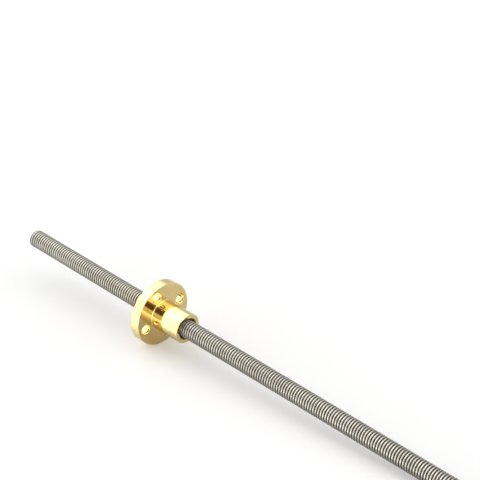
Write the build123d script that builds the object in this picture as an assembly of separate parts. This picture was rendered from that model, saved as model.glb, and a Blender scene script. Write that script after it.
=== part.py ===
from build123d import *
import math
import os

# Trapezoidal lead screw, 6 mm across the crests with one start of 1 mm pitch, and its flanged
# brass nut. All sizes are in millimetres.
# The pair lies as it comes to rest: the rim of the nut's flange and the far end of the screw
# touch the ground at z = 0, so the axis dips a little towards +X. +Z is up, and the origin is
# on the ground under the middle of the screw.

# Screw. The fine thread is left plain here, so the screw is a bar of the crest diameter.
SCREW_DIAMETER = 6.0
SCREW_LENGTH = 200.0
SCREW_END_CHAMFER = 0.5

# Nut: a round flange with a barrel on its front.
FLANGE_DIAMETER = 22.0
FLANGE_THICKNESS = 3.5
FLANGE_EDGE_CHAMFER = 0.25
BARREL_DIAMETER = 10.2
BARREL_LENGTH = 11.5
BARREL_END_CHAMFER = 0.25
BARREL_ROOT_RADIUS = 0.3

# The bore runs on the crests of the thread, with a wider mouth at each end.
BORE_CLEARANCE = 0.05
BORE_MOUTH_CHAMFER = 0.5

# Four screw holes through the flange, on a circle that lies midway between the barrel and the
# rim, less a small inset. The start angle is measured about the axis from the top.
HOLE_DIAMETER = 3.5
HOLE_CIRCLE_INSET = 0.05
HOLE_COUNT = 4
HOLE_START_ANGLE = 20.0
HOLE_EDGE_CHAMFER = 0.15

# Where the nut stands on the screw: from the near end to the flange's front face.
FLANGE_FROM_NEAR_END = 64.0

SCREW_RADIUS = SCREW_DIAMETER / 2
FLANGE_RADIUS = FLANGE_DIAMETER / 2
BARREL_RADIUS = BARREL_DIAMETER / 2
HOLE_RADIUS = HOLE_DIAMETER / 2
HOLE_CIRCLE_RADIUS = (BARREL_RADIUS + FLANGE_RADIUS) / 2 - HOLE_CIRCLE_INSET
BORE_RADIUS = SCREW_RADIUS + BORE_CLEARANCE
MOUTH_RADIUS = BORE_RADIUS + BORE_MOUTH_CHAMFER
FAR_END_FROM_FLANGE = SCREW_LENGTH - FLANGE_FROM_NEAR_END


def resting_axis() -> Plane:
    """Plane on the flange's front face: z along the axis to the far end, x upwards."""
    contact_drop = FLANGE_RADIUS - SCREW_RADIUS
    contact_distance = FAR_END_FROM_FLANGE - SCREW_END_CHAMFER + FLANGE_EDGE_CHAMFER
    dip = math.atan2(contact_drop, contact_distance)
    face_height = FLANGE_RADIUS * math.cos(dip) - FLANGE_EDGE_CHAMFER * math.sin(dip)
    face_to_middle = SCREW_LENGTH / 2 - FLANGE_FROM_NEAR_END
    return Plane(
        origin=(-face_to_middle * math.cos(dip), 0, face_height),
        x_dir=(math.sin(dip), 0, math.cos(dip)),
        z_dir=(math.cos(dip), 0, -math.sin(dip)),
    )


def lead_screw() -> Part:
    """Bar along z, with z = 0 at the flange's front face, chamfered at both ends."""
    bar = Pos(0, 0, -FLANGE_FROM_NEAR_END) * Cylinder(
        SCREW_RADIUS, SCREW_LENGTH, align=(Align.CENTER, Align.CENTER, Align.MIN)
    )
    return chamfer(bar.edges().filter_by(GeomType.CIRCLE), SCREW_END_CHAMFER)


def nut_section() -> Sketch:
    """Half of the nut's turned section, x outwards from the axis and y along it."""
    back = -FLANGE_THICKNESS
    front = BARREL_LENGTH
    edge = FLANGE_EDGE_CHAMFER
    end = BARREL_END_CHAMFER
    mouth = BORE_MOUTH_CHAMFER
    with BuildSketch() as section:
        with BuildLine():
            Polyline(
                (BORE_RADIUS, back + mouth),
                (MOUTH_RADIUS, back),
                (FLANGE_RADIUS - edge, back),
                (FLANGE_RADIUS, back + edge),
                (FLANGE_RADIUS, -edge),
                (FLANGE_RADIUS - edge, 0),
                (BARREL_RADIUS, 0),
                (BARREL_RADIUS, front - end),
                (BARREL_RADIUS - end, front),
                (MOUTH_RADIUS, front),
                (BORE_RADIUS, front - mouth),
                close=True,
            )
        make_face()
        root = section.vertices().sort_by_distance((BARREL_RADIUS, 0))[0]
        fillet(root, BARREL_ROOT_RADIUS)
    return section.sketch


def flange_hole() -> Part:
    """Cutter for one flange hole, on the axis, flared where it breaks through each face."""
    wall = Cylinder(
        HOLE_RADIUS, FLANGE_THICKNESS, align=(Align.CENTER, Align.CENTER, Align.MAX)
    )
    flare = Cone(
        HOLE_RADIUS,
        HOLE_RADIUS + HOLE_EDGE_CHAMFER,
        HOLE_EDGE_CHAMFER,
        align=(Align.CENTER, Align.CENTER, Align.MAX),
    )
    back_flare = Pos(0, 0, -FLANGE_THICKNESS) * Rot(X=180) * flare
    return wall + flare + back_flare


def flanged_nut() -> Part:
    """Turned nut along z, with its flange's front face at z = 0 and the barrel in front."""
    turned = revolve(Plane.XZ * nut_section(), axis=Axis.Z)
    places = PolarLocations(HOLE_CIRCLE_RADIUS, HOLE_COUNT, start_angle=HOLE_START_ANGLE)
    return turned - [place * flange_hole() for place in places]


os.makedirs("parts", exist_ok=True)
axis = resting_axis()
nodes = {"lead_screw": lead_screw(), "flanged_nut": flanged_nut()}
for name, shape in nodes.items():
    solid = axis.location * shape.solid()
    export_step(solid, f"parts/{name}.step")
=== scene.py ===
import logging
import math
from dataclasses import dataclass, field
from enum import Enum

import bmesh
import bpy
from mathutils import Euler, Matrix, Vector


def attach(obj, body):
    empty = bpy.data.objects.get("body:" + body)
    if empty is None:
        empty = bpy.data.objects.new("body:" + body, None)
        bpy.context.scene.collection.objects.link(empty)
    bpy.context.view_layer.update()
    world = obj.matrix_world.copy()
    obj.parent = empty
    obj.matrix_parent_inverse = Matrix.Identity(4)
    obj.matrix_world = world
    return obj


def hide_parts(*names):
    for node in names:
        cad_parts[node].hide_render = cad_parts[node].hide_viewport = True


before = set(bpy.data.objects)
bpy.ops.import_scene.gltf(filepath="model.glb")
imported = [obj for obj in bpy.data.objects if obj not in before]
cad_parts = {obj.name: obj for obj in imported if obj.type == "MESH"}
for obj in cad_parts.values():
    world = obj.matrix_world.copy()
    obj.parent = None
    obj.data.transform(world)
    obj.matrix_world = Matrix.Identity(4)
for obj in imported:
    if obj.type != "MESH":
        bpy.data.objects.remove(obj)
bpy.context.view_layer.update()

# Trapezoidal lead screw with its flanged brass nut, lying on the ground. Shapes are made in
# millimetres about the screw's own axis, and moved into the part's frame, in metres, at the end.

LOG = logging.getLogger("lead_screw_scene")
MILLIMETRE = 0.001

# In millimetres: points as near as MERGE are one point, a point as near as TOUCH to a ring or an
# end face lies on it, and a cut uses a point as near as CUT_SNAP.
MERGE = 1e-4
TOUCH = 1e-3
CUT_SNAP = 1e-5

# How deep the fine marks in a metal are at full strength, in metres.
MARK_DEPTH = 0.00001

ORIGIN = (0.0, 0.0, 0.0)
AXIS = (0.0, 0.0, 1.0)
WHITE = (1.0, 1.0, 1.0, 1.0)

# What the node groups measure about the axis.
AROUND = ("Radius", "Along", "Upward", "Sideways")

Span = tuple[float, float]
Colour = tuple[float, float, float, float]
Parts = list[bmesh.types.BMVert | bmesh.types.BMEdge | bmesh.types.BMFace]
Source = bpy.types.NodeSocket | Vector | Euler | tuple[float, ...] | float


class Wall(Enum):
    """Which side of a thread's surface the metal is on."""

    OUTER = "metal inside the surface, as on a screw"
    INNER = "metal outside the surface, as in a nut"


class Keep(Enum):
    """What stays of a surface that is cut across the axis."""

    ABOVE = "the part above the cut"
    BELOW = "the part below the cut"
    BOTH = "both parts, joined, with the cut's edges added"


class Effect(Enum):
    """The shared node groups, by their names in the file."""

    AXIS = "axis_distances"
    TURNING = "turning_marks"
    HANDLING = "handling_marks"


class SocketKind(Enum):
    """What a node group's input takes."""

    NUMBER = "NodeSocketFloat"
    VECTOR = "NodeSocketVector"


class RayKind(Enum):
    """The Light Path outputs for the rays by which a surface is seen, straight or in metal."""

    CAMERA = "Is Camera Ray"
    GLOSSY = "Is Glossy Ray"
    TRANSMISSION = "Is Transmission Ray"


def open_line(points: tuple[Span, ...]) -> bmesh.types.BMesh:
    """Starts a shape as one open line beside the axis.

    Args:
        points: Each point's radius and place along the axis.

    Returns:
        A new bmesh that holds the line.
    """
    shape = bmesh.new()
    line = [shape.verts.new((radius, 0.0, along)) for radius, along in points]
    for start, end in zip(line, line[1:]):
        shape.edges.new((start, end))
    return shape


def everything(shape: bmesh.types.BMesh) -> Parts:
    """Returns all points, edges and faces of a shape."""
    return shape.verts[:] + shape.edges[:] + shape.faces[:]


def put_in_order(shape: bmesh.types.BMesh) -> None:
    """Sorts edges and faces by their points, so that a spun surface is the same each run.

    Args:
        shape: The shape.
    """
    shape.verts.index_update()
    count = len(shape.verts)

    def place(part: bmesh.types.BMEdge | bmesh.types.BMFace) -> int:
        """Returns a number by the part's lowest and highest point."""
        points = [vertex.index for vertex in part.verts]
        return min(points) * count + max(points)

    shape.edges.sort(key=place)
    shape.faces.sort(key=place)


def double(shape: bmesh.types.BMesh, parts: Parts) -> list[bmesh.types.BMVert]:
    """Returns the points of a copy of some parts, made where they are."""
    copy = bmesh.ops.duplicate(shape, geom=parts)
    return [item for item in copy["geom"] if isinstance(item, bmesh.types.BMVert)]


def merge(shape: bmesh.types.BMesh, distance: float = MERGE) -> None:
    """Makes points that lie within a distance of each other into one."""
    bmesh.ops.remove_doubles(shape, verts=shape.verts[:], dist=distance)


def new_object(name: str, shape: bmesh.types.BMesh) -> bpy.types.Object:
    """Puts a copy of a shape into the scene.

    Args:
        name: The name of the object and its mesh.
        shape: The shape, which is kept.

    Returns:
        The object.
    """
    mesh = bpy.data.meshes.new(name)
    shape.to_mesh(mesh)
    made = bpy.data.objects.new(name, mesh)
    bpy.context.scene.collection.objects.link(made)
    return made


def towards(azimuth: float, elevation: float) -> Vector:
    """Returns the direction of an azimuth, counted from +X to +Y, and elevation in degrees."""
    turn, rise = math.radians(azimuth), math.radians(elevation)
    level = math.cos(rise)
    return Vector((math.cos(turn) * level, math.sin(turn) * level, math.sin(rise)))


@dataclass(frozen=True)
class RestingAxis:
    """The screw's axis as the pair lies on the ground, touching at the flange and far end."""

    screw_radius: float = 3.0
    screw_length: float = 200.0
    end_chamfer: float = 0.5
    flange_radius: float = 11.0
    flange_chamfer: float = 0.25
    flange_from_near_end: float = 64.0

    def dip(self) -> float:
        """Works out how far the axis dips towards +X.

        Returns:
            The angle in radians.
        """
        reach = self.screw_length - self.flange_from_near_end
        return math.atan2(
            self.flange_radius - self.screw_radius,
            reach - self.end_chamfer + self.flange_chamfer,
        )

    def to_part(self) -> Matrix:
        """Gives the move from the axis frame to the part's frame.

        Returns:
            A matrix that takes millimetres, with z along the axis from the flange's front face
            and x upwards, to metres in the part's frame.
        """
        dip = self.dip()
        along = Vector((math.cos(dip), 0.0, -math.sin(dip)))
        up = Vector((math.sin(dip), 0.0, math.cos(dip)))
        side = along.cross(up)
        height = self.flange_radius * math.cos(dip) - self.flange_chamfer * math.sin(dip)
        back = (self.screw_length / 2 - self.flange_from_near_end) * math.cos(dip)
        turn = Matrix((up, side, along)).transposed().to_4x4()
        place = Matrix.Translation(Vector((-back, 0.0, height)) * MILLIMETRE)
        return place @ turn @ Matrix.Scale(MILLIMETRE, 4)


@dataclass(frozen=True)
class ThreadForm:
    """One start of trapezoidal thread, right-handed, with a crest of the screw at z = 0."""

    pitch: float
    outer_radius: float
    inner_radius: float
    outer_flat: float
    corner: float
    wall: Wall
    flank_angle: float = 15.0
    steps: int = 64
    spare_turns: int = 2
    merge_share: float = 0.125

    def profile(self) -> tuple[Span, ...]:
        """Works out one pitch of the thread's outline.

        Returns:
            Each corner's radius and place along the axis.
        """
        slope = math.tan(math.radians(self.flank_angle))
        lean = self.corner * slope
        half_outer = self.outer_flat / 2
        flank = (self.outer_radius - self.inner_radius) * slope
        half_inner = (self.pitch - self.outer_flat) / 2 - flank
        middle = self.pitch / 2
        return (
            (self.inner_radius, -middle - half_inner),
            (self.inner_radius, -middle + half_inner),
            (self.outer_radius - self.corner, -half_outer - lean),
            (self.outer_radius, -half_outer + self.corner),
            (self.outer_radius, half_outer - self.corner),
            (self.outer_radius - self.corner, half_outer + lean),
            (self.inner_radius, middle - half_inner),
        )

    def sweep(self, low: float, high: float) -> bmesh.types.BMesh:
        """Winds the outline into an open threaded surface and cuts it square at both ends.

        Args:
            low: Where the surface starts along z.
            high: Where it ends along z.

        Returns:
            A new bmesh that holds the surface.
        """
        shape = open_line(self.profile())
        bmesh.ops.spin(
            shape,
            geom=everything(shape),
            cent=ORIGIN,
            axis=AXIS,
            dvec=(0.0, 0.0, self.pitch / self.steps),
            angle=math.tau,
            steps=self.steps,
        )
        put_in_order(shape)
        first_turn = (math.floor(low / self.pitch) - self.spare_turns) * self.pitch
        last_needed = high + (self.spare_turns + 1) * self.pitch
        bmesh.ops.translate(shape, verts=shape.verts[:], vec=(0.0, 0.0, first_turn))
        turns = 1
        while first_turn + (turns - self.spare_turns) * self.pitch < high:
            moved = double(shape, everything(shape))
            bmesh.ops.translate(shape, verts=moved, vec=(0.0, 0.0, turns * self.pitch))
            turns *= 2
            beyond = [vertex for vertex in shape.verts if vertex.co.z > last_needed]
            bmesh.ops.delete(shape, geom=beyond, context="VERTS")
        merge(shape, self.corner * self.merge_share)
        self.cut(shape, low, Keep.ABOVE)
        self.cut(shape, high, Keep.BELOW)
        return shape

    @staticmethod
    def cut(shape: bmesh.types.BMesh, height: float, keep: Keep) -> None:
        """Cuts a surface across the axis.

        Args:
            shape: The surface.
            height: Where the cut is along z.
            keep: What stays.
        """
        bmesh.ops.bisect_plane(
            shape,
            geom=everything(shape),
            dist=CUT_SNAP,
            plane_co=(0.0, 0.0, height),
            plane_no=AXIS,
            clear_inner=keep is Keep.ABOVE,
            clear_outer=keep is Keep.BELOW,
        )

    def taper(self, shape: bmesh.types.BMesh, end: float, inward: int, radius: float,
              depth: float, rings: int) -> None:
        """Trims the thread by a 45 degree cone at one end, as a chamfering tool does.

        Args:
            shape: The threaded surface.
            end: Where that end is along z.
            inward: 1 if the metal lies above the end, or -1 if below.
            radius: The cone's radius at the end.
            depth: How far the cone reaches in from the end.
            rings: How many rings of edges the cone gets.
        """
        for ring in range(1, rings + 1):
            self.cut(shape, end + inward * depth * ring / rings, Keep.BOTH)
        slope = 1 if self.wall is Wall.OUTER else -1
        for vertex in shape.verts:
            inside = (vertex.co.z - end) * inward
            if inside > depth:
                continue
            limit = radius + slope * inside
            actual = math.hypot(vertex.co.x, vertex.co.y)
            if (actual - limit) * slope > 0:
                vertex.co.x *= limit / actual
                vertex.co.y *= limit / actual


@dataclass(frozen=True)
class Piece:
    """A finished piece's name, the body it rides on, the node it stands for and its slot."""

    name: str
    body: str
    node: str
    slot: str

    def finish(self, shape: bmesh.types.BMesh, axis: RestingAxis, material: bpy.types.Material,
               sharp_angle: float) -> bpy.types.Object:
        """Turns a closed shape into the piece, in its place in the part's frame.

        Args:
            shape: The shape in the axis frame. It is used up.
            axis: The axis frame.
            material: The material of the whole piece.
            sharp_angle: Edges that turn by more than this many degrees stay sharp.

        Returns:
            The piece's object.
        """
        bmesh.ops.recalc_face_normals(shape, faces=shape.faces[:])
        for face in shape.faces:
            face.smooth = True
        limit = math.radians(sharp_angle)
        for edge in shape.edges:
            edge.smooth = edge.is_manifold and edge.calc_face_angle() < limit
        bmesh.ops.transform(shape, matrix=axis.to_part(), verts=shape.verts[:])
        piece = new_object(self.name, shape)
        shape.free()
        piece.data.materials.append(material)
        flats = piece.modifiers.new("true_flats", "WEIGHTED_NORMAL")
        flats.keep_sharp = True
        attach(piece, self.body)
        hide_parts(self.node)
        return piece


@dataclass
class LeadScrew:
    """The steel screw: one start of fine trapezoidal thread from end to end."""

    axis: RestingAxis
    material: bpy.types.Material
    end_radius: float = 2.5
    chamfer_depth: float = 0.6
    chamfer_rings: int = 6
    merge_within: float = 2e-3
    sharp_angle: float = 50.0
    piece: Piece = Piece("threaded_screw", "screw", "lead_screw", "screw_steel")
    thread: ThreadForm = ThreadForm(
        pitch=1.0, outer_radius=3.0, inner_radius=2.4, outer_flat=0.366, corner=0.05,
        wall=Wall.OUTER,
    )

    def build(self) -> bpy.types.Object:
        """Builds the screw as one closed surface.

        Returns:
            The finished screw.
        """
        near = -self.axis.flange_from_near_end
        far = near + self.axis.screw_length
        shape = self.thread.sweep(near, far)
        for end, inward in ((near, 1), (far, -1)):
            self.thread.taper(
                shape, end, inward, self.end_radius, self.chamfer_depth, self.chamfer_rings
            )
        merge(shape, self.merge_within)
        open_edges = [edge for edge in shape.edges if edge.is_boundary]
        bmesh.ops.holes_fill(shape, edges=open_edges, sides=0)
        return self.piece.finish(shape, self.axis, self.material, self.sharp_angle)


@dataclass
class FlangedNut:
    """The brass nut: a round flange with four holes, and a barrel with a threaded bore.

    The end faces are plain as far in as face_inner, where they meet the bore's mouths. Narrow
    bands of the width of support keep the faces flat beside their rounded edges.
    """

    axis: RestingAxis
    material: bpy.types.Material
    flange_radius: float = 11.0
    flange_thickness: float = 3.5
    barrel_radius: float = 5.1
    barrel_length: float = 11.5
    edge_round: float = 0.25
    edge_segments: int = 3
    root_round: float = 0.3
    root_segments: int = 4
    support: float = 0.04
    hole_radius: float = 1.75
    hole_flare: float = 0.15
    hole_circle: float = 8.0
    hole_count: int = 4
    hole_start: float = 20.0
    drill_over: float = 0.5
    drill_steps: int = 48
    mouth_radius: float = 3.55
    mouth_rings: int = 10
    face_inner: float = 4.1
    steps: int = 128
    sharp_angle: float = 32.0
    piece: Piece = Piece("brass_nut", "nut", "flanged_nut", "nut_brass")
    thread: ThreadForm = ThreadForm(
        pitch=1.0, outer_radius=3.05, inner_radius=2.5, outer_flat=0.4, corner=0.03,
        wall=Wall.INNER,
    )

    def build(self) -> bpy.types.Object:
        """Builds the nut as one closed surface.

        Returns:
            The finished nut.
        """
        shape = self.outside()
        self.join_bore(shape)
        self.drill(shape)
        return self.piece.finish(shape, self.axis, self.material, self.sharp_angle)

    def outside(self) -> bmesh.types.BMesh:
        """Turns the outside and rounds its edges and the barrel's root.

        Returns:
            The outside, open towards the bore at both end faces.
        """
        back = -self.flange_thickness
        front = self.barrel_length
        rim_edge = self.edge_round + self.support
        root_edge = self.root_round + self.support
        shape = open_line((
            (self.face_inner, back),
            (self.flange_radius - rim_edge, back),
            (self.flange_radius, back),
            (self.flange_radius, back + rim_edge),
            (self.flange_radius, -rim_edge),
            (self.flange_radius, 0.0),
            (self.flange_radius - rim_edge, 0.0),
            (self.barrel_radius + root_edge, 0.0),
            (self.barrel_radius, 0.0),
            (self.barrel_radius, root_edge),
            (self.barrel_radius, front - rim_edge),
            (self.barrel_radius, front),
            (self.barrel_radius - rim_edge, front),
            (self.face_inner, front),
        ))
        self.spin_full(shape, self.steps)
        root = ((self.barrel_radius, 0.0),)
        rims = ((self.flange_radius, back), (self.flange_radius, 0.0), (self.barrel_radius, front))
        for places, width, segments in (
            (root, self.root_round, self.root_segments),
            (rims, self.edge_round, self.edge_segments),
        ):
            rings = [edge for edge in shape.edges if self.lies_on(edge, places)]
            bmesh.ops.bevel(
                shape, geom=rings, offset=width, segments=segments, profile=0.5,
                affect="EDGES", offset_type="OFFSET", material=-1,
            )
        return shape

    @staticmethod
    def spin_full(shape: bmesh.types.BMesh, steps: int) -> None:
        """Spins a line once round the axis into a surface.

        Args:
            shape: The shape that holds the line.
            steps: How many steps the round has.
        """
        bmesh.ops.spin(
            shape,
            geom=everything(shape),
            cent=ORIGIN,
            axis=AXIS,
            angle=math.tau,
            steps=steps,
            use_merge=True,
        )
        merge(shape)

    @staticmethod
    def lies_on(edge: bmesh.types.BMEdge, places: tuple[Span, ...]) -> bool:
        """Says whether an edge is part of one of some rings about the axis.

        Args:
            edge: The edge.
            places: Each ring's radius and place along z.

        Returns:
            True if both of its ends are on the same ring.
        """
        points = [(math.hypot(v.co.x, v.co.y), v.co.z) for v in edge.verts]
        return any(
            all(abs(r - radius) < TOUCH and abs(z - along) < TOUCH for r, z in points)
            for radius, along in places
        )

    def join_bore(self, shape: bmesh.types.BMesh) -> None:
        """Adds the threaded bore with its two cone mouths and joins it to the end faces.

        Args:
            shape: The turned outside.
        """
        back = -self.flange_thickness
        front = self.barrel_length
        bore = self.thread.sweep(back, front)
        depth = self.mouth_radius - self.thread.inner_radius
        for end, inward in ((back, 1), (front, -1)):
            self.thread.taper(bore, end, inward, self.mouth_radius, depth, self.mouth_rings)
        merge(bore)
        mesh = bpy.data.meshes.new("bore")
        bore.to_mesh(mesh)
        bore.free()
        shape.from_mesh(mesh)
        bpy.data.meshes.remove(mesh)
        for along in (back, front):
            rim = [
                edge for edge in shape.edges
                if edge.is_boundary and all(abs(v.co.z - along) < TOUCH for v in edge.verts)
            ]
            bmesh.ops.triangle_fill(
                shape, edges=rim, use_beauty=True, use_dissolve=False, normal=AXIS
            )
        bmesh.ops.recalc_face_normals(shape, faces=shape.faces[:])

    def drills(self) -> bmesh.types.BMesh:
        """Makes the cutters of the flange holes, each with a small flare at both faces.

        Returns:
            A new bmesh that holds all the cutters in place.
        """
        back = -self.flange_thickness
        flare = self.hole_flare
        wide = self.hole_radius + flare + self.drill_over
        cutter = open_line((
            (0.0, back - self.drill_over),
            (wide, back - self.drill_over),
            (self.hole_radius, back + flare),
            (self.hole_radius, -flare),
            (wide, self.drill_over),
            (0.0, self.drill_over),
        ))
        self.spin_full(cutter, self.drill_steps)
        bmesh.ops.recalc_face_normals(cutter, faces=cutter.faces[:])
        bmesh.ops.translate(cutter, verts=cutter.verts[:], vec=(self.hole_circle, 0.0, 0.0))
        one = everything(cutter)
        for place in range(1, self.hole_count):
            moved = double(cutter, one)
            turn = Matrix.Rotation(math.tau * place / self.hole_count, 3, "Z")
            bmesh.ops.rotate(cutter, verts=moved, cent=ORIGIN, matrix=turn)
        start_turn = Matrix.Rotation(math.radians(self.hole_start), 3, "Z")
        bmesh.ops.rotate(cutter, verts=cutter.verts[:], cent=ORIGIN, matrix=start_turn)
        return cutter

    def drill(self, shape: bmesh.types.BMesh) -> None:
        """Cuts the flange holes.

        Args:
            shape: The closed nut. It gets the drilled shape in place of its own.
        """
        cutter = self.drills()
        blank = new_object("nut_blank", shape)
        drills = new_object("nut_drills", cutter)
        cutter.free()
        cut = blank.modifiers.new("holes", "BOOLEAN")
        cut.operation = "DIFFERENCE"
        cut.solver = "EXACT"
        cut.object = drills
        evaluated = blank.evaluated_get(bpy.context.evaluated_depsgraph_get())
        drilled = bpy.data.meshes.new_from_object(evaluated)
        shape.clear()
        shape.from_mesh(drilled)
        bpy.data.meshes.remove(drilled)
        for scratch in (blank, drills):
            mesh = scratch.data
            bpy.data.objects.remove(scratch)
            bpy.data.meshes.remove(mesh)
        merge(shape)


@dataclass(frozen=True)
class NoiseForm:
    """How coarse, detailed and rough a noise is."""

    scale: float = 1.0
    detail: float = 2.0
    roughness: float = 0.5


@dataclass
class Graph:
    """A node tree with short ways to add and link nodes."""

    tree: bpy.types.NodeTree

    def add(self, kind: str, **settings: object) -> bpy.types.Node:
        """Adds a node.

        Args:
            kind: The node's type name.
            **settings: Properties to set on it.

        Returns:
            The new node.
        """
        node = self.tree.nodes.new(kind)
        for name, value in settings.items():
            setattr(node, name, value)
        return node

    def feed(self, socket: bpy.types.NodeSocket, source: Source) -> None:
        """Links or sets an input.

        Args:
            socket: The input.
            source: An output to link, or a plain value.
        """
        if isinstance(source, bpy.types.NodeSocket):
            self.tree.links.new(source, socket)
        else:
            socket.default_value = source

    def fill(self, node: bpy.types.Node, sources: dict[str, Source]) -> None:
        """Links or sets some of a node's inputs, by their names."""
        for name, source in sources.items():
            self.feed(node.inputs[name], source)

    def math(self, operation: str, first: Source, second: Source = 0.0,
             clamp: bool = False) -> bpy.types.NodeSocket:
        """Adds a Math node.

        Args:
            operation: Its operation.
            first: The first input, an output or a number.
            second: The second input, an output or a number.
            clamp: Whether the result is held between 0 and 1.

        Returns:
            Its output.
        """
        node = self.add("ShaderNodeMath", operation=operation, use_clamp=clamp)
        self.feed(node.inputs[0], first)
        self.feed(node.inputs[1], second)
        return node.outputs[0]

    def times(self, first: Source, second: Source) -> bpy.types.NodeSocket:
        """Returns the product of two values."""
        return self.math("MULTIPLY", first, second)

    def rest(self, source: Source) -> bpy.types.NodeSocket:
        """Returns what a value leaves of 1."""
        return self.math("SUBTRACT", 1.0, source)

    def total(self, start: Source, *shares: tuple[Source, float]) -> bpy.types.NodeSocket:
        """Adds shares of some masks to a value.

        Args:
            start: The value.
            *shares: Each mask and how much of it is added.

        Returns:
            The sum.
        """
        for mask, share in shares:
            start = self.math("ADD", start, self.times(mask, share))
        return start

    def ramp(self, source: Source, low: float, high: float, start: float = 0.0,
             end: float = 1.0) -> bpy.types.NodeSocket:
        """Adds a smooth Map Range node.

        Args:
            source: The value to map.
            low: The value that gives start.
            high: The value that gives end.
            start: The result at low.
            end: The result at high.

        Returns:
            Its output.
        """
        node = self.add("ShaderNodeMapRange", interpolation_type="SMOOTHSTEP")
        self.fill(node, {"Value": source, "From Min": low, "From Max": high, "To Min": start,
                         "To Max": end})
        return node.outputs["Result"]

    def mix(self, factor: Source, first: Source, second: Source) -> bpy.types.NodeSocket:
        """Adds a colour Mix node.

        Args:
            factor: How much of the second colour shows.
            first: The first colour.
            second: The second colour.

        Returns:
            Its output.
        """
        node = self.add("ShaderNodeMix", data_type="RGBA")
        self.feed(node.inputs["Factor"], factor)
        colours = [socket for socket in node.inputs if socket.type == "RGBA"]
        for socket, colour in zip(colours, (first, second)):
            self.feed(socket, colour)
        return next(socket for socket in node.outputs if socket.type == "RGBA")

    def overlay(self, colour: Source, other: Source, mask: Source,
                share: float) -> bpy.types.NodeSocket:
        """Returns a colour with a share of another laid over it where a mask is strong."""
        return self.mix(self.times(mask, share), colour, other)

    def noise(self, vector: Source, form: NoiseForm) -> bpy.types.NodeSocket:
        """Adds a Noise Texture node.

        Args:
            vector: Its coordinates.
            form: Its scale, detail and roughness.

        Returns:
            Its value output.
        """
        node = self.add("ShaderNodeTexNoise")
        self.fill(node, {"Vector": vector, "Scale": form.scale, "Detail": form.detail,
                         "Roughness": form.roughness})
        return node.outputs["Fac"]

    def combine(self, x: Source, y: Source, z: Source) -> bpy.types.NodeSocket:
        """Adds a Combine XYZ node.

        Args:
            x: Its first input.
            y: Its second input.
            z: Its third input.

        Returns:
            Its output.
        """
        node = self.add("ShaderNodeCombineXYZ")
        self.fill(node, {"X": x, "Y": y, "Z": z})
        return node.outputs[0]


def start_material(name: str) -> tuple[bpy.types.Material, Graph, bpy.types.NodeSocket]:
    """Makes a material that holds its output node alone.

    Args:
        name: The material's name.

    Returns:
        The material, its graph and the output node's surface input.
    """
    material = bpy.data.materials.new(name)
    material.use_nodes = True
    material.node_tree.nodes.clear()
    graph = Graph(material.node_tree)
    return material, graph, graph.add("ShaderNodeOutputMaterial").inputs["Surface"]


@dataclass(frozen=True)
class GroupInput:
    """An input of a node group."""

    name: str
    kind: SocketKind = SocketKind.NUMBER
    value: float = 0.0


@dataclass(frozen=True)
class EffectGroup:
    """A shader node group with named sockets, which more than one material uses."""

    effect: Effect
    inputs: tuple[GroupInput, ...]
    outputs: tuple[str, ...]

    def start(self) -> tuple[Graph, dict[str, bpy.types.NodeSocket], bpy.types.Node]:
        """Makes the group without what it does.

        Returns:
            Its graph, what it is given by name, and its output node.
        """
        tree = bpy.data.node_groups.new(self.effect.value, "ShaderNodeTree")
        for entry in self.inputs:
            socket = tree.interface.new_socket(
                entry.name, in_out="INPUT", socket_type=entry.kind.value
            )
            if entry.kind is SocketKind.NUMBER:
                socket.default_value = entry.value
        for name in self.outputs:
            tree.interface.new_socket(
                name, in_out="OUTPUT", socket_type=SocketKind.NUMBER.value
            )
        graph = Graph(tree)
        given = graph.add("NodeGroupInput").outputs
        end = graph.add("NodeGroupOutput")
        return graph, {entry.name: given[entry.name] for entry in self.inputs}, end


class AxisDistances:
    """Node group that measures a point about the screw's axis, in millimetres."""

    @staticmethod
    def build() -> bpy.types.NodeTree:
        """Builds the group.

        Returns:
            The group.
        """
        graph, given, end = EffectGroup(
            Effect.AXIS, (GroupInput("Vector", SocketKind.VECTOR),), AROUND
        ).start()
        parts = graph.add("ShaderNodeSeparateXYZ")
        graph.feed(parts.inputs[0], given["Vector"])
        up, side, along = parts.outputs
        radius = graph.math("SQRT", graph.math("ADD", graph.times(up, up), graph.times(side, side)))
        graph.fill(end, {
            "Radius": radius,
            "Along": along,
            "Upward": graph.math("DIVIDE", up, radius),
            "Sideways": graph.math("DIVIDE", side, radius),
        })
        return graph.tree


@dataclass(frozen=True)
class RingForm:
    """How fine turned rings are, and how much they change on their way round."""

    fineness: float
    drift: float


@dataclass(frozen=True)
class TurningMarks:
    """Node group for the fine rings that a lathe tool or a thread roller leaves."""

    usual: RingForm = RingForm(8.0, 0.35)
    fine: NoiseForm = NoiseForm(1.0, 3.0, 0.6)
    broad: NoiseForm = NoiseForm(1.0, 2.0, 0.55)
    broad_fineness: float = 1.3
    streak_levels: Span = (0.35, 0.68)

    def build(self) -> bpy.types.NodeTree:
        """Builds the group.

        Returns:
            The group.
        """
        graph, given, end = EffectGroup(
            Effect.TURNING,
            (
                *(GroupInput(name) for name in AROUND),
                GroupInput("Fineness", value=self.usual.fineness),
                GroupInput("Drift", value=self.usual.drift),
            ),
            ("Height", "Streaks"),
        ).start()
        upward = graph.times(given["Upward"], given["Drift"])
        sideways = graph.times(given["Sideways"], given["Drift"])
        outwards = graph.math("ADD", given["Radius"], given["Along"])
        close = graph.combine(graph.times(outwards, given["Fineness"]), upward, sideways)
        wide = graph.combine(graph.times(outwards, self.broad_fineness), upward, sideways)
        graph.fill(end, {
            "Height": graph.noise(close, self.fine),
            "Streaks": graph.ramp(graph.noise(wide, self.broad), *self.streak_levels),
        })
        return graph.tree


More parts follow.
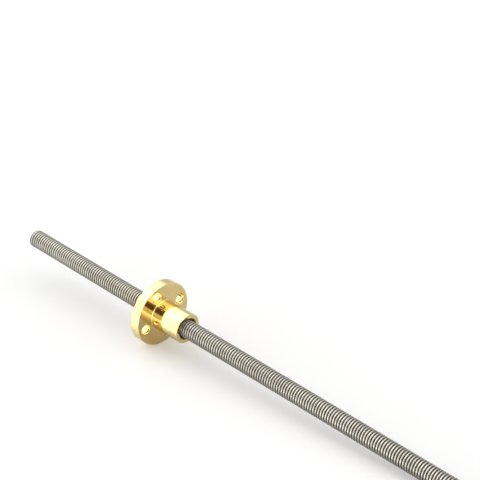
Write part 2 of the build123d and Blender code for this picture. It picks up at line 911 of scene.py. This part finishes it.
@dataclass(frozen=True)
class HandlingMarks:
    """Node group for the faint marks that handling leaves on bare metal."""

    usual_size: float = 4.0
    blotch: NoiseForm = NoiseForm(1.0, 3.0, 0.6)
    blotch_levels: Span = (0.42, 0.66)
    speck: NoiseForm = NoiseForm(9.0, 1.0, 0.5)
    speck_levels: Span = (0.66, 0.76)
    scratch: tuple[tuple[str, float], ...] = (
        ("Scale", 2.1), ("Distortion", 22.0), ("Detail", 1.0), ("Detail Scale", 0.45),
        ("Detail Roughness", 0.4),
    )
    scratch_levels: Span = (0.985, 1.0)
    scratched: NoiseForm = NoiseForm(2.3, 1.0, 0.5)
    scratched_levels: Span = (0.50, 0.60)

    def build(self) -> bpy.types.NodeTree:
        """Builds the group.

        Returns:
            The group.
        """
        graph, given, end = EffectGroup(
            Effect.HANDLING,
            (GroupInput("Vector", SocketKind.VECTOR), GroupInput("Size", value=self.usual_size)),
            ("Blotches", "Specks", "Scratches"),
        ).start()
        size = given["Size"]
        scaled = graph.add("ShaderNodeVectorMath", operation="DIVIDE")
        graph.feed(scaled.inputs[0], given["Vector"])
        graph.feed(scaled.inputs[1], graph.combine(size, size, size))
        place = scaled.outputs[0]
        waves = graph.add("ShaderNodeTexWave", wave_type="BANDS", bands_direction="DIAGONAL")
        graph.fill(waves, {"Vector": place, **dict(self.scratch)})
        lines = graph.ramp(waves.outputs["Fac"], *self.scratch_levels)
        here = graph.ramp(graph.noise(place, self.scratched), *self.scratched_levels)
        graph.fill(end, {
            "Blotches": graph.ramp(graph.noise(place, self.blotch), *self.blotch_levels),
            "Specks": graph.ramp(graph.noise(place, self.speck), *self.speck_levels),
            "Scratches": graph.times(lines, here),
        })
        return graph.tree


@dataclass
class Finisher:
    """The axis frame, and the shared node groups, built once for every metal."""

    axis: RestingAxis
    groups: dict[Effect, bpy.types.NodeTree] = field(init=False)

    def __post_init__(self) -> None:
        """Builds the shared groups."""
        self.groups = {
            Effect.AXIS: AxisDistances().build(),
            Effect.TURNING: TurningMarks().build(),
            Effect.HANDLING: HandlingMarks().build(),
        }


class Metal:
    """A bare metal's material in the making: its graph, its shader and its places."""

    def __init__(self, name: str, finisher: Finisher) -> None:
        """Starts the material with coordinates in millimetres in the axis frame.

        Args:
            name: The material's name.
            finisher: What holds the axis frame and the shared groups.
        """
        self.finisher = finisher
        self.material, self.graph, surface = start_material(name)
        self.shader = self.graph.add("ShaderNodeBsdfPrincipled")
        self.shader.inputs["Metallic"].default_value = 1.0
        self.graph.feed(surface, self.shader.outputs["BSDF"])
        place, turn, scale = finisher.axis.to_part().decompose()
        mapping = self.graph.add("ShaderNodeMapping", vector_type="TEXTURE")
        self.graph.fill(mapping, {
            "Vector": self.graph.add("ShaderNodeTexCoord").outputs["Object"],
            "Location": place,
            "Rotation": turn.to_euler("XYZ"),
            "Scale": scale,
        })
        self.vector = mapping.outputs["Vector"]
        self.about = self.place_group(Effect.AXIS, {"Vector": self.vector})

    def place_group(self, effect: Effect, sources: dict[str, Source]) -> bpy.types.Node:
        """Places a shared group in the material.

        Args:
            effect: Which group.
            sources: What its inputs get, by name.

        Returns:
            The group's node.
        """
        node = self.graph.add("ShaderNodeGroup", node_tree=self.finisher.groups[effect])
        self.graph.fill(node, sources)
        return node

    def rings(self, form: RingForm) -> bpy.types.Node:
        """Returns the placed group of turning marks of a form."""
        around = {name: self.about.outputs[name] for name in AROUND}
        return self.place_group(
            Effect.TURNING, {**around, "Fineness": form.fineness, "Drift": form.drift}
        )

    def marks(self, size: float) -> bpy.types.Node:
        """Returns the placed group of handling marks of a size in millimetres."""
        return self.place_group(Effect.HANDLING, {"Vector": self.vector, "Size": size})

    def dress(self, colour: Source, roughness: Source, relief: Source,
              strength: float) -> bpy.types.Material:
        """Feeds the shader.

        Args:
            colour: The metal's colour.
            roughness: Its roughness.
            relief: The height of its fine marks.
            strength: How strongly the marks show.

        Returns:
            The finished material.
        """
        bump = self.graph.add("ShaderNodeBump")
        self.graph.fill(bump, {"Strength": strength, "Distance": MARK_DEPTH, "Height": relief})
        self.graph.fill(self.shader, {
            "Base Color": colour, "Roughness": roughness, "Normal": bump.outputs["Normal"],
        })
        return self.material


@dataclass(frozen=True)
class ThreadSteel:
    """Bare rolled steel: bright worn crests and flanks, dull grooves painted dark as shade in the
    thread roots, and cut ends.

    Radii, sizes and places along the axis are in millimetres. The cut ends lie further than
    cut_from to either side of middle, the middle of the screw.
    """

    crest: Colour = (0.44, 0.42, 0.368, 1.0)
    flank: Colour = (0.28, 0.262, 0.222, 1.0)
    # Root colour, painted dark as shade in the thread's hollows; stains and pits use it too.
    groove_shade_and_stain: Colour = (0.19, 0.175, 0.144, 1.0)
    # Darkest root colour: grime together with painted shade.
    groove_grime_and_shade: Colour = (0.06, 0.05, 0.036, 1.0)
    cut_end: Colour = (0.44, 0.425, 0.39, 1.0)
    groove_from: float = 2.46
    crest_from: float = 2.90
    crest_fade: float = 0.08
    bright_fade: float = 0.05
    middle: float = 36.0
    cut_from: float = 99.42
    cut_fade: float = 0.15
    rolling: RingForm = RingForm(14.0, 6.0)
    facing: RingForm = RingForm(10.0, 0.6)
    hand_size: float = 5.0
    pit_size: float = 0.6
    stain_share: float = 0.20
    streak_share: float = 0.22
    grime_and_shade_share: float = 0.4
    ring_share: float = 0.5
    pit_share: float = 0.35
    bright_roughness: float = 0.28
    dull_roughness: float = 0.52
    cut_roughness: float = 0.36
    worn_roughness: float = 0.08
    rubbed_roughness: float = 0.07
    pitted_roughness: float = 0.15
    dent_height: float = 0.5
    nick_height: float = -0.6
    relief_strength: float = 0.55

    def material(self, finisher: Finisher) -> bpy.types.Material:
        """Builds the material.

        Args:
            finisher: What holds the shared groups.

        Returns:
            The material.
        """
        metal = Metal("rolled_thread_steel", finisher)
        graph = metal.graph
        rolled = metal.rings(self.rolling).outputs
        faced = metal.rings(self.facing).outputs
        hands = metal.marks(self.hand_size).outputs
        pits = metal.marks(self.pit_size).outputs
        radius = metal.about.outputs["Radius"]
        height = graph.ramp(radius, self.groove_from, self.crest_from)
        top = graph.ramp(radius, self.crest_from, self.crest_from + self.crest_fade)
        from_middle = graph.math(
            "ABSOLUTE", graph.math("SUBTRACT", metal.about.outputs["Along"], self.middle)
        )
        cut = graph.ramp(from_middle, self.cut_from, self.cut_from + self.cut_fade)

        # Painted shade: the colour darkens from the flanks down into the roots and stands in for
        # the shade there; the crests are worn brighter.
        colour = graph.mix(top, graph.mix(height, self.groove_shade_and_stain, self.flank), self.crest)
        colour = graph.overlay(colour, self.groove_shade_and_stain, hands["Blotches"], self.stain_share)
        colour = graph.overlay(colour, self.flank, rolled["Streaks"], self.streak_share)
        # Grime and painted shade: dark blotches laid only into the thread roots, deepening their
        # shade.
        groove_grime_and_shade_mask = graph.times(pits["Blotches"], graph.rest(height))
        colour = graph.overlay(colour, self.groove_grime_and_shade, groove_grime_and_shade_mask, self.grime_and_shade_share)
        ringed = graph.overlay(self.cut_end, self.flank, faced["Streaks"], self.ring_share)
        colour = graph.mix(cut, colour, ringed)
        colour = graph.overlay(colour, self.groove_shade_and_stain, pits["Specks"], self.pit_share)

        rough = graph.ramp(radius, self.groove_from, self.crest_from + self.bright_fade,
                           self.dull_roughness, self.bright_roughness)
        smoothed = graph.times(graph.math("SUBTRACT", rough, self.cut_roughness), cut)
        rough = graph.total(
            graph.math("SUBTRACT", rough, smoothed),
            (hands["Blotches"], self.worn_roughness),
            (rolled["Streaks"], self.rubbed_roughness),
            (pits["Specks"], self.pitted_roughness),
        )

        grain = graph.math(
            "ADD", graph.times(rolled["Height"], graph.rest(cut)),
            graph.times(faced["Height"], cut),
        )
        relief = graph.total(
            grain, (pits["Blotches"], self.dent_height), (pits["Specks"], self.nick_height)
        )
        return metal.dress(colour, rough, relief, self.relief_strength)


@dataclass(frozen=True)
class PolishedBrass:
    """Turned brass, polished nearly to a mirror, with faint rings and handling marks.

    Radii and sizes are in millimetres. Inside bore_radius the metal is painted dark, as shade in
    the bore, and is less smooth.
    """

    bright: Colour = (0.73, 0.60, 0.262, 1.0)
    warm: Colour = (0.64, 0.48, 0.185, 1.0)
    blush: Colour = (0.78, 0.60, 0.30, 1.0)
    dull: Colour = (0.36, 0.26, 0.10, 1.0)
    # Dark colour painted into the bore as its shade.
    bore: Colour = (0.17, 0.14, 0.08, 1.0)
    bore_radius: float = 3.85
    bore_fade: Span = (-0.15, 0.10)
    turning: RingForm = RingForm(9.0, 1.5)
    hand_size: float = 3.0
    air_size: float = 8.0
    streak_share: float = 0.35
    hand_share: float = 0.60
    air_share: float = 0.75
    speck_share: float = 0.10
    roughness: float = 0.07
    bore_roughness: float = 0.32
    worn_roughness: float = 0.05
    rubbed_roughness: float = 0.03
    scratch_height: float = -0.8
    relief_strength: float = 0.12

    def material(self, finisher: Finisher) -> bpy.types.Material:
        """Builds the material.

        Args:
            finisher: What holds the shared groups.

        Returns:
            The material.
        """
        metal = Metal("turned_brass", finisher)
        graph = metal.graph
        turned = metal.rings(self.turning).outputs
        hands = metal.marks(self.hand_size).outputs
        air = metal.marks(self.air_size).outputs
        radius = metal.about.outputs["Radius"]
        mouth = [self.bore_radius + step for step in self.bore_fade]

        colour = graph.overlay(self.bright, self.warm, turned["Streaks"], self.streak_share)
        colour = graph.overlay(colour, self.warm, hands["Blotches"], self.hand_share)
        colour = graph.overlay(colour, self.blush, air["Blotches"], self.air_share)
        colour = graph.overlay(colour, self.dull, hands["Specks"], self.speck_share)
        # Painted shade: the bore and its mouths get the dark colour in place of the brass.
        colour = graph.mix(graph.ramp(radius, *mouth), self.bore, colour)

        rough = graph.total(
            graph.ramp(radius, *mouth, self.bore_roughness, self.roughness),
            (hands["Blotches"], self.worn_roughness),
            (turned["Streaks"], self.rubbed_roughness),
        )
        relief = graph.total(turned["Height"], (hands["Scratches"], self.scratch_height))
        return metal.dress(colour, rough, relief, self.relief_strength)


def seen(graph: Graph, *kinds: RayKind) -> bpy.types.NodeSocket:
    """Adds nodes that tell some kinds of ray from others.

    Args:
        graph: The graph.
        *kinds: The kinds.

    Returns:
        A value that is 1 for rays of those kinds, and 0 for others.
    """
    path = graph.add("ShaderNodeLightPath")
    total = 0.0
    for kind in kinds:
        total = graph.math("ADD", path.outputs[kind.value], total, clamp=True)
    return total


@dataclass(frozen=True)
class SoftLobe:
    """A soft bright or dark area of the surround, with its angles in degrees."""

    name: str
    azimuth: float
    elevation: float
    full_within: float
    gone_beyond: float
    gain: float

    def strength(self, graph: Graph, direction: bpy.types.NodeSocket) -> bpy.types.NodeSocket:
        """Adds the nodes that say how strong the area is in a direction.

        Args:
            graph: The surround's graph.
            direction: The direction that is looked at.

        Returns:
            A value from 0 to the gain.
        """
        nearness = graph.add("ShaderNodeVectorMath", operation="DOT_PRODUCT", label=self.name)
        graph.feed(nearness.inputs[0], direction)
        graph.feed(nearness.inputs[1], towards(self.azimuth, self.elevation))
        return graph.ramp(
            nearness.outputs["Value"], math.cos(math.radians(self.gone_beyond)),
            math.cos(math.radians(self.full_within)), 0.0, self.gain,
        )


@dataclass(frozen=True)
class PaintedFloorLight:
    """Two glowing pools of painted light on the floor in front of the screw, with a dimmer gap
    between them.

    Only metal mirrors them. Places are in metres: front and right_end are distances in front of
    the axis, and the others are along X. Across right_part the right pool gets an end of its
    own, right_end, and along climb the pools get brighter, by climb_shares.
    """

    lift: float = 2.2
    front: Span = (0.006, 0.032)
    right_part: Span = (0.0, 0.025)
    right_end: Span = (0.040, 0.075)
    gap_middle: float = -0.010
    gap: Span = (0.024, 0.036)
    gap_share: float = 0.5
    climb: Span = (-0.06, 0.03)
    climb_shares: Span = (0.75, 2.1)

    def strength(self, graph: Graph) -> bpy.types.NodeSocket:
        """Adds the nodes that say how bright the painted light pools are at a place on the floor.

        Args:
            graph: The floor's graph.

        Returns:
            The brightness.
        """
        place = graph.add("ShaderNodeSeparateXYZ")
        graph.feed(place.inputs[0], graph.add("ShaderNodeTexCoord").outputs["Object"])
        across, back, _ = place.outputs
        ahead = graph.times(back, -1.0)
        ended = graph.times(graph.ramp(across, *self.right_part),
                            graph.ramp(ahead, *self.right_end))
        front = graph.times(graph.ramp(ahead, *self.front), graph.rest(ended))
        beside = graph.math("ABSOLUTE", graph.math("SUBTRACT", across, self.gap_middle))
        sides = graph.ramp(beside, *self.gap, start=self.gap_share)
        along = graph.ramp(across, *self.climb, *self.climb_shares)
        return graph.times(graph.times(front, graph.times(sides, along)), self.lift)


@dataclass
class Studio:
    """A pale floor, a white surround with soft bright areas as its light, and the camera.

    Lengths are in metres, apart from the lens and sensor, and angles in degrees. The camera
    sees the surround plain white and the floor lifted a little towards white.
    """

    camera_place: tuple[float, float, float] = (0.31537, -0.32261, 0.29870)
    camera_azimuth: float = 134.447
    camera_elevation: float = -28.665
    lens: float = 128.9
    sensor: float = 36.0
    clip: Span = (0.01, 20.0)
    floor_size: float = 8.0
    floor_colour: Colour = (0.82, 0.82, 0.82, 1.0)
    floor_lift: float = 0.24
    mirrored_lift: float = 0.10
    # Painted pools of light on the floor, seen only in metal.
    mirrored_light_pools: PaintedFloorLight = PaintedFloorLight()
    matt_share: float = 0.46
    bright_areas: tuple[SoftLobe, ...] = (
        SoftLobe("front_left_light", 230.0, 20.0, 22.0, 72.0, 1.45),
        SoftLobe("overhead_light", 10.0, 56.0, 24.0, 46.0, 1.4),
        SoftLobe("back_left_light", 170.0, 54.0, 15.0, 48.0, 1.4),
        SoftLobe("front_right_light", -56.0, 3.0, 10.0, 36.0, 0.3),
    )
    dark_round_camera: SoftLobe = SoftLobe("dark_round_camera", -44.5, 36.0, 16.0, 23.0, 0.88)
    dim_back: SoftLobe = SoftLobe("dim_back", 112.0, 2.0, 14.0, 34.0, 0.26)
    dark_tint: Colour = (1.0, 0.62, 0.45, 1.0)

    def build(self) -> None:
        """Builds the whole setting."""
        self.surround()
        self.floor()
        self.camera()
        bpy.context.scene.view_settings.view_transform = "Standard"

    def surround(self) -> None:
        """Makes the surround. Matt surfaces get matt_share of the light that metal mirrors."""
        world = bpy.data.worlds.new("studio_surround")
        world.use_nodes = True
        bpy.context.scene.world = world
        graph = Graph(world.node_tree)
        back = next(node for node in world.node_tree.nodes if node.type == "BACKGROUND")
        direction = graph.add("ShaderNodeTexCoord").outputs["Generated"]
        level = 1.0
        for area in self.bright_areas:
            level = graph.math("ADD", level, area.strength(graph, direction))
        dark = self.dark_round_camera.strength(graph, direction)
        dim = self.dim_back.strength(graph, direction)
        level = graph.times(graph.times(level, graph.rest(dark)), graph.rest(dim))
        metal = seen(graph, RayKind.GLOSSY, RayKind.TRANSMISSION)
        level = graph.times(level, graph.total(self.matt_share, (metal, 1.0 - self.matt_share)))
        camera = seen(graph, RayKind.CAMERA)
        unseen = graph.rest(camera)
        graph.fill(back, {
            "Strength": graph.math("ADD", graph.times(level, unseen), camera),
            "Color": graph.mix(graph.times(dark, unseen), WHITE, self.dark_tint),
        })

    def floor(self) -> None:
        """Makes the pale floor, which keeps the object's soft shadow and glows with painted pools
        of light that only metal mirrors.
        """
        shape = bmesh.new()
        bmesh.ops.create_grid(shape, x_segments=1, y_segments=1, size=self.floor_size / 2)
        floor = new_object("pale_floor", shape)
        shape.free()
        material, graph, surface = start_material("pale_floor")
        matt = graph.add("ShaderNodeBsdfDiffuse")
        matt.inputs["Color"].default_value = self.floor_colour
        # Painted light: the floor glows in pools that only metal sees, brightening its reflections.
        mirrored = graph.math("ADD", self.mirrored_light_pools.strength(graph), self.mirrored_lift)
        metal = seen(graph, RayKind.GLOSSY, RayKind.TRANSMISSION)
        camera = seen(graph, RayKind.CAMERA)
        glow = graph.add("ShaderNodeEmission")
        graph.feed(glow.inputs["Strength"],
                   graph.total(graph.times(metal, mirrored), (camera, self.floor_lift)))
        both = graph.add("ShaderNodeAddShader")
        graph.feed(both.inputs[0], matt.outputs[0])
        graph.feed(both.inputs[1], glow.outputs[0])
        graph.feed(surface, both.outputs[0])
        floor.data.materials.append(material)

    def camera(self) -> None:
        """Sets the camera at its place, looking along its azimuth and elevation."""
        lens = bpy.data.cameras.new("camera")
        lens.lens = self.lens
        lens.sensor_width = self.sensor
        lens.clip_start, lens.clip_end = self.clip
        looking = towards(self.camera_azimuth, self.camera_elevation)
        camera = bpy.data.objects.new("camera", lens)
        camera.location = self.camera_place
        camera.rotation_euler = looking.to_track_quat("-Z", "Y").to_euler()
        bpy.context.scene.collection.objects.link(camera)
        bpy.context.scene.camera = camera


def main() -> None:
    """Builds the setting and both pieces, in order, and reports each piece."""
    logging.basicConfig(level=logging.INFO, format="%(name)s: %(message)s")
    axis = RestingAxis()
    finisher = Finisher(axis)
    Studio().build()
    screw = LeadScrew(axis, ThreadSteel().material(finisher)).build()
    nut = FlangedNut(axis, PolishedBrass().material(finisher)).build()
    for piece in (screw, nut):
        LOG.info("%s: %d faces", piece.name, len(piece.data.polygons))


if __name__ == "__main__":
    main()
